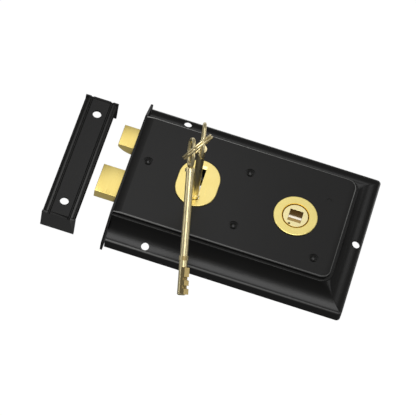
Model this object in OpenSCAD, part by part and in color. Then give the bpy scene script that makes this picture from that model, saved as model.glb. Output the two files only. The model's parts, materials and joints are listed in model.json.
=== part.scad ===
// Rim box lock with its keep, two keys and a split ring, lying on its back.
// X runs back from the forend, Y up the door edge, Z out of the door.
// Sizes are in millimetres; places along X are measured from the forend's outer face.

/* [Case] */
// Length from the forend's outer face to the rear edge
case_l = 152; // [145:1:170]
// Height up the door edge
case_h = 100; // [96:1:120]
// Depth from the door to the face
case_d = 21.3; // [20.8:0.1:26]
// Thickness of the pressed steel
sheet = 1.2; // [0.8:0.1:1.4]
// Width of the flat edge outside the cove
flange_w = 1.5; // [1:0.1:2.5]
// Height of the flange above the door
flange_z = 8.4; // [7:0.1:9]
// Radius of the cove between the flat edge and the step
cove_r = 13.5; // [13:0.1:14]
// Slope of the cove at its foot
cove_slope = 10; // [8:1:12]
// Distance from the case's edge in to the works
wall_in = 12.7; // [12.4:0.1:13]
// Width of the small step below the face
step_in = 1.2; // [0.6:0.1:1.5]
// Depth of that step below the face
step_drop = 2.7; // [2:0.1:3.2]
// Edge rounding of the face
edge_r = 1.5; // [1:0.1:2]
// Corner radius of the face at the rear
face_corner_r = 6; // [4:0.5:9]
// Corner radius of the flange at the rear
flange_corner_r = 2.5; // [1:0.5:4]
// Width of the sloping band beside the forend
band_w = 4.5; // [3:0.5:6]
// Drop of the sloping band
band_drop = 1.2; // [0.6:0.1:1.6]
// Radius of the three fixing holes in the flange
fix_r = 2.45; // [2:0.05:2.6]
// Fixing hole centre from the flange's edge
fix_edge = 3.9; // [3.8:0.1:4.5]
// Paired fixing holes behind the forend
fix_x = 26.2; // [20:0.1:40]
// Thickness of the back plate
plate_t = 1.5; // [1.2:0.1:1.8]
// Back plate's edge in from the flange's edge
plate_in = 12; // [11:0.5:12.5]

/* [Forend] */
// Thickness of the forend
forend_t = 1.5; // [1.2:0.1:2.5]
// Height of the forend over its two ears
forend_h = 105.6; // [102:0.2:126]
// Height of the forend's upper edge
forend_top_h = 73.2; // [70:0.2:80]
// Gap between the forend and the flange's end
flange_gap = 0.4; // [0.3:0.1:2.5]

/* [Dead bolt] */
// How far the thrown bolt stands out
bolt_out = 14.2; // [13.8:0.1:16]
// Travel of the bolt
bolt_throw = 13.5; // [12:0.1:13.5]
// Height of the bolt head
bolt_h = 20; // [16:0.5:21]
// Thickness of the bolt head
bolt_t = 7; // [6:0.1:7.5]
// Middle of the bolt head above the case's lower wall
bolt_rise = 24.1; // [23.6:0.1:25]
// Thickness of the bolt's tail
tail_t = 3; // [2.5:0.1:3.2]

/* [Latch] */
// How far the latch stands out
latch_out = 10.3; // [10:0.1:12]
// Travel of the latch
latch_throw = 9.8; // [9:0.1:9.8]
// Height of the latch head
latch_h = 14.8; // [12:0.1:15]
// Thickness of the latch head
latch_t = 8; // [7:0.1:8.5]
// Middle of the latch head below the case's upper wall
latch_fall = 14.1; // [13.6:0.1:14.6]
// Thickness of the latch's tail
latch_tail_t = 2.5; // [2:0.1:2.8]
// Height of both bolts' upper faces above the door
bolts_top = 13.5; // [13:0.1:13.6]

/* [Spindle] */
// Spindle's distance from the case's rear edge
spindle_back = 44.5; // [44:0.5:47]
// Spindle's place up the door
spindle_y = -1.3; // [-1.5:0.1:-1]
// Side of the square hole
spindle_sq = 8.2; // [8:0.1:8.4]
// Radius of the follower's hub
hub_r = 7.75; // [7.3:0.05:7.9]
// Outer radius of the rose
rose_r = 13.7; // [12:0.1:16]
// Horn's length from the spindle to the middle of its tip
horn_l = 15; // [14.5:0.1:15]

/* [Key] */
// Key's distance from the forend
key_x = 45.2; // [44:0.2:46]
// Key's height above the case's lower wall
key_rise = 26.6; // [26.4:0.1:26.9]
// Overall length of a key
key_l = 93; // [86:1:110]
// Radius of the key's pin
pin_r = 2.5; // [2:0.1:2.7]
// Radius of the key's shank
shank_r = 2.35; // [2:0.05:2.6]
// Reach of the bit from the key's axis
bit_reach = 19.5; // [17:0.1:19.6]
// Length of the bit along the key
bit_l = 15.6; // [14:0.1:15.8]
// Thickness of bit and bow
bit_t = 2.8; // [2.4:0.1:3]
// Outer radius of the bow
bow_r = 9.1; // [8.6:0.1:9.6]
// Width of the bow's rim
bow_rim = 2.8; // [2.4:0.1:2.9]
// Lean of the inserted key towards the forend
key_lean = 2.3; // [0:0.1:2.5]
// Turn of the inserted key away from the slot
key_start = 12; // [0:1:14]

/* [Split ring] */
// Wire radius
ring_wire_r = 0.5; // [0.4:0.05:0.55]
// Mean radius of the ring
ring_r = 10.2; // [9.8:0.1:10.6]

/* [Keep] */
// Width of the keep
keep_w = 21.3; // [20:0.1:26]
// Height of the keep up the frame
keep_h = 89.3; // [84:0.1:100]
// Depth of the keep
keep_d = 16; // [15.8:0.1:20]
// Gap between keep and forend as laid out
keep_gap = 18.2; // [16.5:0.1:30]
// Middle of the keep up the door
keep_y = -3.85; // [-6:0.05:-1]
// Distance between the keep's screw holes
keep_pitch = 65.9; // [60:0.1:68]
// Radius of the keep's screw holes
keep_hole_r = 2.75; // [2:0.05:3]

/* [Hidden] */
$fn = 64;

black = [0.09, 0.09, 0.09];
brass = [0.85, 0.68, 0.3];
steel = [0.62, 0.63, 0.65];

// Clearances: between moving faces, round a turning journal, and round a fixed pin
slide_gap = 0.3;
turn_gap = 0.05;
seat_gap = 0.05;
over = 1;

// Heights inside the case
roof_z = case_d - sheet;
top_in = wall_in + step_in;
wall_y = -(case_h / 2 - wall_in - sheet);
step_z = case_d - step_drop;
cove_z = flange_z + cove_r * cos(cove_slope);
cove_out = cove_r * sin(cove_slope) - flange_w;
band_z = case_d - band_drop;
face_plate_t = 1;
face_plate_z = case_d + face_plate_t;
notch_w = 8;

// Where the works stand: up from the lower wall, down from the upper wall, in from the rear edge
bolt_y = wall_y + bolt_rise;
key_y = wall_y + key_rise;
latch_y = -wall_y - latch_fall;
spindle_x = case_l - spindle_back;

// Rivet heads on the face mark the four pillars
bolts_gap = latch_y - latch_h / 2 - bolt_y - bolt_h / 2;
upper_pillar_in = 17.5;
lower_pillar_in = 15.6;
rear_pillar_in = 10.7;
rear_pillar_back = 26.4;
pillar_at = [[11.4, bolt_y + bolt_h / 2 + 0.392 * bolts_gap], [73.1, -wall_y - upper_pillar_in],
             [73.4, wall_y + lower_pillar_in], [case_l - rear_pillar_back, wall_y + rear_pillar_in]];
latch_pillar = pillar_at[1];
pillar_r = 2.5;
neck_r = 1.5;
dome_r = 2.15;
dome_h = 0.9;
screw_r = 1.2;
screw_head_r = 2.4;
screw_head_h = 1;
screw_l = 6;

// Dead bolt and its tail
bolt_z = bolts_top - bolt_t;
bolt_low = bolt_y - bolt_h / 2;
bolt_lap = 4;
bolt_rear = 10;
tail_rise = 2.1;
tail_w = 9;
tail_low = wall_y + tail_rise;
tail_top = tail_low + tail_w;
tail_end = 88;
tail_z = bolt_z + tail_t;
stump_r = 1.75;
stump_root_r = 1.4;
stump_x = 84;
stump_rise = 14.1;
stump_y = wall_y + stump_rise;
guide_r = 2;
guide_x = 68;
guide_rise = 6.6;
guide_y = wall_y + guide_rise;
talon_depth = bit_reach + 1;
talon_w = 20.8;
talon_clear = 0.4;
talon_left = key_x - talon_depth - talon_clear;

// Levers
lever_t = 1.6;
lever_gap = 0.4;
lever_1_z = tail_z + 0.5;
pin_proud = 0.6;
window_gap = 0.8;
lever_2_z = lever_1_z + lever_t + lever_gap;
lever_top = lever_2_z + lever_t;
lever_x = 19;
lever_y = wall_y + 3.5;
lever_post_r = 1.75;
lever_boss_r = 2.9;
lever_collar_r = 2.6;
lever_1_drop = 2.2;
lever_2_drop = 1.8;
belly_r = bit_reach + 0.9;
lever_low = wall_y + 1.9;
lever_neck_x = 58;
lever_neck_low = wall_y + 5.6;
lever_rise = 0.8;
gate_play = 0.5;
gate_tab = 3.5;
pocket_h = 11.5;
gate_rim = 3.2;
leaf_t = 0.5;

// Latch and its tail
latch_z = bolts_top - latch_t;
latch_lap = 4;
latch_rear = 14;
latch_tail_z = latch_z + latch_tail_t;
latch_slot_end = 88;
horn_r = 2.5;
horn_gap = 0.7;
horn_clear = 0.8;
latch_run_rise = 3;
latch_run_top = latch_y + latch_run_rise;
latch_run_low = spindle_y + horn_l + horn_r + horn_clear;
yoke_x = spindle_x + horn_r + horn_gap;
yoke_w = 4;
yoke_clear = 0.55;
yoke_low = spindle_y + hub_r + yoke_clear;
latch_spring_y = latch_y - 1;
latch_spring_z = latch_z + latch_tail_t / 2;
latch_spring_r = 2.6;
latch_wire_r = 0.45;
latch_spring_turns = 7;
stop_back = 19;
stop_x = case_l - stop_back;
spigot_r = 1.6;
spigot_l = 4;

// Follower
bush_r = 9.5;
journal_r = 7;
bush_top = 3.4;
foot_gap = 0.1;
rose_gap = 0.45;

// Key and keyhole
key_tip_z = 2.2;
bow_z = key_l - bow_r;
bow_half = 2.1;
collar_z = 20.6;
collar_h = 2.6;
collar_r = 2.9;
bit_z = 1.2;
slot_w = bit_t + 0.6;
keyhole_margin = 0.6;
slot_reach = bit_reach + 1;
keyhole_r = pin_r + 0.35;
key2_tilt = 60;
key2_turn = 105.6;
key2_roll = 92.7;
bow_at = [key_x, key_y, case_d] + (bow_z - case_d + key_tip_z) * [-sin(key_lean), 0, cos(key_lean)];
key2_along = [sin(key2_tilt) * cos(key2_turn), sin(key2_tilt) * sin(key2_turn), cos(key2_tilt)];
key2_hang = [-4.49, -6.57, -6.62];
key2_tip = bow_at + key2_hang - bow_z * key2_along;
ring_hang = [-1.2, -9.98, 7.25];
ring_at = bow_at + ring_hang;
ring_tilt = 73;
ring_turn = 152.7;
ring_pitch = 2 * ring_wire_r + 0.45;
ring_turns = 1.9;

// Keep
keep_left = -keep_gap - keep_w;
keep_top_t = 1.7;
keep_round = 3;
keep_groove_r = 0.8;
keep_strip = 11.2;

module from_forend() {
    translate([-case_l / 2, 0, 0]) children();
}

// Runs a drawing of height over width along X
module along_x(from, to) {
    translate([from, 0, 0]) rotate([90, 0, 90]) linear_extrude(to - from) children();
}

// Runs a drawing of height over length along Y
module along_y(from, to) {
    translate([0, to, 0]) rotate([90, 0, 0]) linear_extrude(to - from) children();
}

module block(low, high) {
    translate(low) cube(high - low);
}

// Tube along a list of points, square to the path, with flat ends
function unit(v) = v / norm(v);
function heading(path, i) = unit(path[min(i + 1, len(path) - 1)] - path[max(i - 1, 0)]);
function hoop(centre, dir, ref, r, sides) =
    let (side = unit(cross(dir, ref)), up = cross(side, dir))
    [for (k = [0:sides - 1]) centre + r * (cos(360 * k / sides) * side + sin(360 * k / sides) * up)];
module tube(path, r, ref, sides = 6) {
    count = len(path);
    points = [for (i = [0:count - 1]) each hoop(path[i], heading(path, i), ref, r, sides)];
    skin = [for (i = [0:count - 2], k = [0:sides - 1], half = [0, 1])
        let (a = i * sides + k, b = i * sides + (k + 1) % sides)
        half == 0 ? [a, b, b + sides] : [a, b + sides, a + sides]];
    start = [for (k = [1:sides - 2]) [0, k + 1, k]];
    last = (count - 1) * sides;
    finish = [for (k = [1:sides - 2]) [last, last + k, last + k + 1]];
    polyhedron(points, [for (f = concat(skin, start, finish)) [f[0], f[2], f[1]]]);
}

// Points of a coil about Z, and the least gap it leaves to itself
function coil(r, pitch, turns, rings) =
    [for (i = [0:round(turns * rings)]) let (a = 360 * i / rings) [r * cos(a), r * sin(a), pitch * a / 360]];
function coil_gap(path, rings, wire_r) =
    min([for (i = [0:len(path) - 1 - rings]) norm(path[i + rings] - path[i])]) - 2 * wire_r;

// Section of the pressing: skirt, flat edge, cove, step and rounded face
module moulding(half, inset) {
    low = inset > 0 ? -over : 0;
    round_r = max(edge_r - inset, 0.1);
    top_half = half - top_in - inset;
    translate([-(half - inset), low]) square([2 * (half - inset), flange_z - inset - low]);
    difference() {
        translate([-(half - inset), low]) square([2 * (half - inset), step_z - inset - low]);
        for (s = [-1, 1]) translate([s * (half + cove_out), cove_z]) circle(cove_r + inset);
    }
    translate([-top_half, low]) square([2 * top_half, case_d - inset - round_r - low]);
    translate([-(top_half - round_r), low]) square([2 * (top_half - round_r), case_d - inset - low]);
    for (s = [-1, 1]) translate([s * (top_half - round_r), case_d - inset - round_r]) circle(round_r);
}

// What is cut off a corner to leave a quarter round
module corner_cut(x, y, side, r, low, high) {
    translate([x, y, low]) difference() {
        translate([0, side > 0 ? 0 : -2 * r, 0]) cube([2 * r, 2 * r, high - low]);
        translate([0, 0, -over]) cylinder(h = high - low + 2 * over, r = r);
    }
}

// The pressed box, whole or drawn in by the sheet's thickness
module pressing(inset) {
    front = inset > 0 ? forend_t - over : forend_t;
    corner_x = case_l - top_in - face_corner_r;
    corner_y = case_h / 2 - top_in - face_corner_r;
    flange_c = flange_corner_r - min(inset, flange_corner_r / 2);
    difference() {
        intersection() {
            along_x(front, case_l + over) moulding(case_h / 2, inset);
            along_y(-case_h, case_h) moulding(case_l, inset);
        }
        for (s = [-1, 1]) {
            corner_cut(corner_x, s * corner_y, s, face_corner_r - inset, step_z - inset, case_d + over);
            corner_cut(case_l - inset - flange_c, s * (case_h / 2 - inset - flange_c), s, flange_c,
                       -2 * over, flange_z);
        }
        along_y(-case_h, case_h) polygon([
            [0, case_d], [0, band_z - inset], [forend_t, band_z - inset],
            [forend_t + band_w, case_d - inset], [forend_t + band_w, case_d]]);
    }
}

// Keyhole: a round for the shank and a slot up for the bit
module keyhole(extra, low, high) {
    translate([key_x, key_y, low]) cylinder(h = high - low, r = keyhole_r + extra);
    block([key_x - slot_w / 2 - extra, key_y, low],
          [key_x + slot_w / 2 + extra, key_y + slot_reach + extra, high]);
}

// Gaps cut at the flange's forend end
module flange_ends() {
    past_edge = 2;
    for (s = [-1, 1])
        translate([0, s * (case_h / 2 - wall_in / 2 + past_edge), 0])
            translate([0, -wall_in / 2, -over]) cube([forend_t + flange_gap, wall_in, case_d]);
}

module fixing_holes(r, low, high) {
    for (s = [-1, 1]) translate([fix_x, s * (case_h / 2 - fix_edge), low]) cylinder(h = high - low, r = r);
    translate([case_l - fix_edge, 0, low]) cylinder(h = high - low, r = r);
}

// Cut in the upper skirt, which leaves the fixing hole clear
module skirt_notch() {
    block([fix_x - notch_w / 2, case_h / 2 - sheet - over, -over],
          [fix_x + notch_w / 2, case_h / 2 + over, flange_z - sheet]);
}

module case_cover() {
    color(black) from_forend() difference() {
        pressing(0);
        pressing(sheet);
        flange_ends();
        keyhole(keyhole_margin, roof_z - over, case_d + over);
        translate([spindle_x, spindle_y, roof_z - over]) cylinder(h = sheet + 2 * over, r = hub_r + turn_gap);
        for (p = pillar_at) translate([p[0], p[1], roof_z - over])
            cylinder(h = sheet + 2 * over, r = neck_r + seat_gap);
        fixing_holes(fix_r, flange_z - sheet - over / 2, case_d);
        skirt_notch();
    }
}

module forend_plate() {
    color(black) from_forend() difference() {
        along_x(0, forend_t) polygon([
            [-forend_h / 2, 0], [forend_h / 2, 0], [forend_h / 2, flange_z], [forend_top_h / 2, band_z],
            [-forend_top_h / 2, band_z], [-forend_h / 2, flange_z]]);
        block([-over, bolt_low - slide_gap, bolt_z - slide_gap],
              [forend_t + over, bolt_low + bolt_h + slide_gap, bolts_top + slide_gap]);
        block([-over, latch_y - latch_h / 2 - slide_gap, latch_z - slide_gap],
              [forend_t + over, latch_y + latch_h / 2 + slide_gap, bolts_top + slide_gap]);
    }
}

module back_plate() {
    edge = case_h / 2 - plate_in;
    rear = case_l - plate_in;
    corner = flange_corner_r;
    color(black) from_forend() difference() {
        block([forend_t, -edge, 0], [rear, edge, plate_t]);
        for (s = [-1, 1])
            corner_cut(rear - corner, s * (edge - corner), s, corner, -over, plate_t + over);
        keyhole(keyhole_margin, -over, plate_t + over);
        translate([spindle_x, spindle_y, -over]) cylinder(h = plate_t + 2 * over, r = bush_r + seat_gap);
        for (p = pillar_at) translate([p[0], p[1], 0]) {
            translate([0, 0, -over]) cylinder(h = plate_t + 2 * over, r = screw_r + seat_gap);
            translate([0, 0, -over]) cylinder(h = screw_head_h + over, r = screw_head_r + seat_gap);
        }
    }
}

// A pillar stands on the back plate, and its riveted end makes a dome on the face
module pillar() {
    difference() {
        union() {
            translate([0, 0, plate_t]) cylinder(h = roof_z - plate_t, r = pillar_r);
            translate([0, 0, roof_z - over]) cylinder(h = sheet + over, r = neck_r);
            dome_sphere_r = (dome_r * dome_r + dome_h * dome_h) / (2 * dome_h);
            intersection() {
                translate([0, 0, case_d + dome_h - dome_sphere_r]) sphere(dome_sphere_r);
                translate([0, 0, case_d]) cylinder(h = dome_h + over, r = dome_r + over);
            }
        }
        translate([0, 0, plate_t - over]) cylinder(h = screw_l + over, r = screw_r + seat_gap);
    }
}

module pillars() {
    color(black) from_forend() for (p = pillar_at) translate([p[0], p[1], 0]) pillar();
}

module cap_screw() {
    slot_half = 0.35;
    slot_depth = 0.5;
    difference() {
        union() {
            cylinder(h = screw_head_h, r = screw_head_r);
            cylinder(h = plate_t + screw_l - slide_gap, r = screw_r);
        }
        block([-screw_head_r - over, -slot_half, -over], [screw_head_r + over, slot_half, slot_depth]);
    }
}

module cap_screws() {
    color(steel) from_forend() for (p = pillar_at) translate([p[0], p[1], 0]) cap_screw();
}

module key_escutcheon() {
    plate_r = 13;
    plate_half = 3.6;
    plate_shift = 0.7;
    plate_rise = 9.5;
    plate_x = key_x - plate_shift;
    plate_y = key_y + plate_rise;
    color(brass) from_forend() difference() {
        union() {
            for (s = [-1, 1]) translate([plate_x, plate_y + s * plate_half, case_d])
                cylinder(h = face_plate_t, r = plate_r);
            block([plate_x - plate_r, plate_y - plate_half, case_d],
                  [plate_x + plate_r, plate_y + plate_half, face_plate_z]);
        }
        keyhole(0, case_d - over, face_plate_z + over);
    }
}

module spindle_rose() {
    color(brass) from_forend() translate([spindle_x, spindle_y, case_d]) difference() {
        cylinder(h = face_plate_t, r = rose_r);
        translate([0, 0, -over]) cylinder(h = face_plate_t + 2 * over, r = hub_r + rose_gap);
    }
}

// Brass head, lapped over its tail behind the forend
module dead_bolt() {
    color(brass) from_forend() difference() {
        block([-bolt_out, bolt_low, bolt_z], [bolt_rear, bolt_low + bolt_h, bolts_top]);
        block([bolt_lap, bolt_low - over, bolt_z - over],
              [bolt_rear + over, bolt_low + bolt_h + over, tail_z]);
    }
}

module bolt_tail() {
    lap_edge = 0.5;
    arm_low = wall_y + 6.5;
    arm_end = lever_x + lever_collar_r + 0.7;
    riser_x = 78;
    riser_rim = 0.75;
    riser_top = stump_y + stump_r + riser_rim;
    color(steel) from_forend() difference() {
        union() {
            block([bolt_lap, arm_low, bolt_z], [bolt_rear, bolt_low + bolt_h - lap_edge, tail_z]);
            block([bolt_lap, arm_low, bolt_z], [arm_end + over, tail_top, tail_z]);
            block([arm_end, tail_low, bolt_z], [tail_end, tail_top, tail_z]);
            block([riser_x, tail_low, bolt_z], [tail_end, riser_top, tail_z]);
        }
        block([talon_left, key_y - talon_depth, bolt_z - over],
              [talon_left + talon_w, tail_top + over, tail_z + over]);
        translate([guide_x, guide_y, bolt_z - over]) cylinder(h = tail_t + 2 * over, r = guide_r + slide_gap);
        translate([guide_x - bolt_throw, guide_y, bolt_z - over])
            cylinder(h = tail_t + 2 * over, r = guide_r + slide_gap);
        block([guide_x - bolt_throw, guide_y - guide_r - slide_gap, bolt_z - over],
              [guide_x, guide_y + guide_r + slide_gap, tail_z + over]);
        translate([stump_x, stump_y, bolt_z - over])
            cylinder(h = tail_t + 2 * over, r = stump_root_r + seat_gap);
    }
}

module bolt_stump() {
    color(steel) from_forend() translate([stump_x, stump_y, 0]) {
        translate([0, 0, bolt_z]) cylinder(h = tail_t + over, r = stump_root_r);
        translate([0, 0, tail_z]) cylinder(h = lever_top - tail_z + pin_proud, r = stump_r);
    }
}

module bolt_guide_post() {
    shoulder = 1.2;
    color(steel) from_forend() translate([guide_x, guide_y, plate_t]) {
        cylinder(h = lever_1_z - slide_gap - plate_t, r = guide_r);
        cylinder(h = bolt_z - slide_gap - plate_t, r = guide_r + shoulder);
    }
}

// Lever plate: pivot at the forend end, belly round the key, gate at the far end
module lever(low, drop) {
    mid_x = stump_x + bolt_throw / 2;
    gate_y = stump_y + (mid_x - lever_x) * sin(drop / 2);
    swing = (stump_x + bolt_throw - lever_x) * sin(drop);
    pass = stump_r + gate_play + swing / 4;
    window_left = stump_x - stump_r - window_gap;
    window_right = stump_x + bolt_throw + stump_r + window_gap;
    pocket_low = gate_y - pocket_h / 2;
    arm_top = tail_top + lever_rise;
    from_forend() translate([0, 0, low]) difference() {
        union() {
            translate([lever_x, lever_y, 0]) cylinder(h = lever_t, r = lever_boss_r);
            block([lever_x, lever_low, 0], [lever_neck_x, arm_top, lever_t]);
            block([lever_neck_x - over, lever_neck_low, 0], [window_left, arm_top, lever_t]);
            block([window_left - gate_rim, pocket_low - gate_rim, 0],
                  [window_right + gate_rim, pocket_low + pocket_h + gate_rim, lever_t]);
        }
        translate([lever_x, lever_y, -over]) cylinder(h = lever_t + 2 * over, r = lever_post_r + turn_gap);
        translate([key_x, key_y, -over]) cylinder(h = lever_t + 2 * over, r = belly_r);
        block([window_left, pocket_low, -over],
              [mid_x - gate_tab / 2, pocket_low + pocket_h, lever_t + over]);
        block([mid_x + gate_tab / 2, pocket_low, -over],
              [window_right, pocket_low + pocket_h, lever_t + over]);
        block([window_left, gate_y - pass, -over], [window_right, gate_y + pass, lever_t + over]);
    }
}

module lever_1() {
    color(brass) lever(lever_1_z, lever_1_drop);
}

module lever_2() {
    color(brass) lever(lever_2_z, lever_2_drop);
}

module lever_post() {
    color(steel) from_forend() translate([lever_x, lever_y, plate_t]) {
        cylinder(h = lever_top + pin_proud - plate_t, r = lever_post_r);
        cylinder(h = lever_1_z - slide_gap - plate_t, r = lever_collar_r);
    }
}

// Bowed leaf under a lever's gate, bearing on the case's lower wall
module lever_leaf(low, drop) {
    mid_x = stump_x + bolt_throw / 2;
    gate_y = stump_y + (mid_x - lever_x) * sin(drop / 2);
    gate_low = gate_y - pocket_h / 2 - gate_rim;
    fall = gate_low - (wall_y + slide_gap) - leaf_t;
    span = 21;
    left = stump_x - stump_r - window_gap + slide_gap;
    bow = (span * span + fall * fall) / (2 * fall);
    from_forend() translate([left, gate_low, low]) intersection() {
        translate([0, -bow, 0]) difference() {
            cylinder(h = lever_t, r = bow, $fn = 200);
            translate([0, 0, -over]) cylinder(h = lever_t + 2 * over, r = bow - leaf_t, $fn = 200);
        }
        translate([0, -fall - over, 0]) cube([span, fall + 2 * over, lever_t]);
    }
}

module lever_1_spring() {
    color(steel) lever_leaf(lever_1_z, lever_1_drop);
}

module lever_2_spring() {
    color(steel) lever_leaf(lever_2_z, lever_2_drop);
}

// Brass latch head with its curved bevel on the door side
module latch_bolt() {
    nose = 2.5;
    rise = latch_t - nose;
    bevel_r = (latch_out * latch_out + rise * rise) / (2 * rise);
    low = latch_y - latch_h / 2;
    high = latch_y + latch_h / 2;
    color(brass) from_forend() difference() {
        block([-latch_out, low, latch_z], [latch_rear, high, bolts_top]);
        block([latch_lap, low - over, latch_z - over], [latch_rear + over, high + over, latch_tail_z]);
        translate([0, low - over, 0]) difference() {
            block([-latch_out - over, 0, latch_z - over], [0, latch_h + 2 * over, latch_z + rise]);
            translate([0, -over, latch_z + bevel_r]) rotate([-90, 0, 0])
                cylinder(h = latch_h + 4 * over, r = bevel_r, $fn = 200);
        }
    }
}

module latch_tail() {
    lap_edge = 0.5;
    slot_r = pillar_r + slide_gap;
    slot_rim = 3.3;
    color(steel) from_forend() difference() {
        union() {
            block([latch_lap, latch_y - latch_h / 2 + lap_edge, latch_z],
                  [latch_rear, latch_run_top, latch_tail_z]);
            block([latch_rear - over, latch_pillar[1] - slot_r - slot_rim, latch_z],
                  [latch_slot_end, latch_run_top, latch_tail_z]);
            block([latch_slot_end - over, latch_run_low, latch_z],
                  [yoke_x + yoke_w, latch_run_top, latch_tail_z]);
            block([yoke_x, yoke_low, latch_z], [yoke_x + yoke_w, latch_run_top, latch_tail_z]);
            translate([yoke_x + yoke_w - over, latch_spring_y, latch_spring_z]) rotate([0, 90, 0])
                cylinder(h = spigot_l + over, r = spigot_r);
        }
        for (x = [latch_pillar[0] - latch_throw, latch_pillar[0]])
            translate([x, latch_pillar[1], latch_z - over])
                cylinder(h = latch_tail_t + 2 * over, r = slot_r);
        block([latch_pillar[0] - latch_throw, latch_pillar[1] - slot_r, latch_z - over],
              [latch_pillar[0], latch_pillar[1] + slot_r, latch_tail_z + over]);
    }
}

// Coil spring between the latch's tail and its stop
module latch_spring() {
    rings = 8;
    start = yoke_x + yoke_w + slide_gap + latch_wire_r;
    finish = stop_x - slide_gap - latch_wire_r;
    path = coil(latch_spring_r, (finish - start) / latch_spring_turns, latch_spring_turns, rings);
    echo(latch_spring_least_gap = coil_gap(path, rings, latch_wire_r));
    color(steel) from_forend() translate([start, latch_spring_y, latch_spring_z]) rotate([0, 90, 0])
        tube(path, latch_wire_r, [0, 0, 1]);
}

// Angle bracket that the spring pushes against
module spring_stop() {
    stop_half = 4.5;
    stop_t = 1.5;
    stop_top = latch_spring_z + 4;
    foot = 5;
    color(steel) from_forend() {
        block([stop_x, latch_spring_y - stop_half, plate_t],
              [stop_x + stop_t, latch_spring_y + stop_half, stop_top]);
        block([stop_x, latch_spring_y - stop_half, plate_t],
              [stop_x + foot, latch_spring_y + stop_half, plate_t + stop_t]);
    }
}

// Follower: square hub with one horn that draws the latch back
module follower() {
    collar_low = 10;
    collar_top = 13;
    collar_edge = 2;
    horn_low = latch_z - slide_gap;
    horn_top = latch_tail_z + slide_gap;
    hub_low = bush_top + foot_gap;
    color(brass) from_forend() translate([spindle_x, spindle_y, 0]) difference() {
        union() {
            translate([0, 0, foot_gap]) cylinder(h = bush_top, r = journal_r);
            translate([0, 0, hub_low]) cylinder(h = face_plate_z - slide_gap - hub_low, r = hub_r);
            translate([0, 0, collar_low]) cylinder(h = collar_top - collar_low, r = hub_r + collar_edge);
            block([-horn_r, 0, horn_low], [horn_r, horn_l, horn_top]);
            translate([0, horn_l, horn_low]) cylinder(h = horn_top - horn_low, r = horn_r);
        }
        block([-spindle_sq / 2, -spindle_sq / 2, -over],
              [spindle_sq / 2, spindle_sq / 2, face_plate_z + over]);
    }
}

module follower_bush() {
    color(brass) from_forend() translate([spindle_x, spindle_y, 0]) difference() {
        cylinder(h = bush_top, r = bush_r);
        translate([0, 0, -over]) cylinder(h = bush_top + 2 * over, r = journal_r + turn_gap);
    }
}

// A key, tip down at the origin, its bit and bow in the YZ plane
module key_form() {
    tip_round = 0.6;
    bow_low = bow_z - bow_r;
    swell = 0.7;
    swell_h = 2;
    steps = [[5.5, 1], [10.5, 2.2]];
    wards = [3.2, 8.2];
    ward_w = 2;
    ward_depth = 8;
    difference() {
        union() {
            translate([0, 0, tip_round]) cylinder(h = collar_z, r = pin_r);
            cylinder(h = tip_round, r1 = pin_r - tip_round, r2 = pin_r);
            translate([0, 0, collar_z]) cylinder(h = bow_low + over - collar_z, r = shank_r);
            translate([0, 0, collar_z]) cylinder(h = collar_h, r = collar_r);
            translate([0, 0, bow_low - swell_h]) cylinder(h = swell_h, r = shank_r + swell);
            block([-bit_t / 2, 0, bit_z], [bit_t / 2, bit_reach, bit_z + bit_l]);
            for (s = [-1, 1]) translate([-bit_t / 2, s * bow_half, bow_z]) rotate([0, 90, 0])
                cylinder(h = bit_t, r = bow_r);
            block([-bit_t / 2, -bow_half, bow_low], [bit_t / 2, bow_half, bow_low + 2 * bow_r]);
        }
        for (s = [-1, 1]) translate([-bit_t, s * bow_half, bow_z]) rotate([0, 90, 0])
            cylinder(h = 2 * bit_t, r = bow_r - bow_rim);
        block([-bit_t, -bow_half, bow_low + bow_rim], [bit_t, bow_half, bow_low + 2 * bow_r - bow_rim]);
        for (s = steps)
            block([-bit_t, bit_reach - s[1], bit_z + s[0]], [bit_t, bit_reach + over, bit_z + bit_l + over]);
        for (w = wards)
            block([-bit_t, bit_reach - ward_depth, bit_z + w], [bit_t, bit_reach + over, bit_z + w + ward_w]);
    }
}

module key_1() {
    color(brass) from_forend() translate([key_x, key_y, case_d]) rotate([0, -key_lean, 0])
        rotate([0, 0, key_start]) translate([0, 0, key_tip_z - case_d]) key_form();
}

module key_2() {
    color(brass) from_forend() translate(key2_tip) rotate([0, key2_tilt, key2_turn])
        rotate([0, 0, key2_roll]) key_form();
}

// Split ring: nearly two turns of wire
module key_ring() {
    rings = 24;
    path = coil(ring_r, ring_pitch, ring_turns, rings);
    echo(key_ring_least_gap = coil_gap(path, rings, ring_wire_r));
    color(brass) from_forend() translate(ring_at) rotate([0, ring_tilt, ring_turn])
        translate([0, 0, -ring_pitch * ring_turns / 2]) tube(path, ring_wire_r, [0, 0, 1]);
}

// Box keep: closed away from the lock and by a square plate at both ends, open towards the bolts
module keep() {
    low = keep_y - keep_h / 2;
    high = keep_y + keep_h / 2;
    right = keep_left + keep_w;
    strip_x = keep_left + (keep_w - keep_strip) / 2;
    hole_x = keep_left + keep_w / 2;
    color(black) from_forend() difference() {
        union() {
            along_y(low + sheet, high - sheet) union() {
                translate([keep_left, 0]) square([keep_w, keep_d - keep_round]);
                translate([keep_left + keep_round, 0]) square([keep_w - 2 * keep_round, keep_d]);
                for (x = [keep_left + keep_round, right - keep_round])
                    translate([x, keep_d - keep_round]) circle(keep_round);
            }
            for (y = [low, high - sheet]) block([keep_left, y, 0], [right, y + sheet, keep_d]);
        }
        block([keep_left + sheet, low + sheet, -over], [right + over, high - sheet, keep_d - keep_top_t]);
        for (x = [strip_x - keep_groove_r, strip_x + keep_strip + keep_groove_r])
            translate([x, low - over, keep_d]) rotate([-90, 0, 0])
                cylinder(h = keep_h + 2 * over, r = keep_groove_r);
        for (s = [-1, 1]) translate([hole_x, keep_y + s * keep_pitch / 2, 0])
            cylinder(h = keep_d + over, r = keep_hole_r);
    }
}

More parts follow.
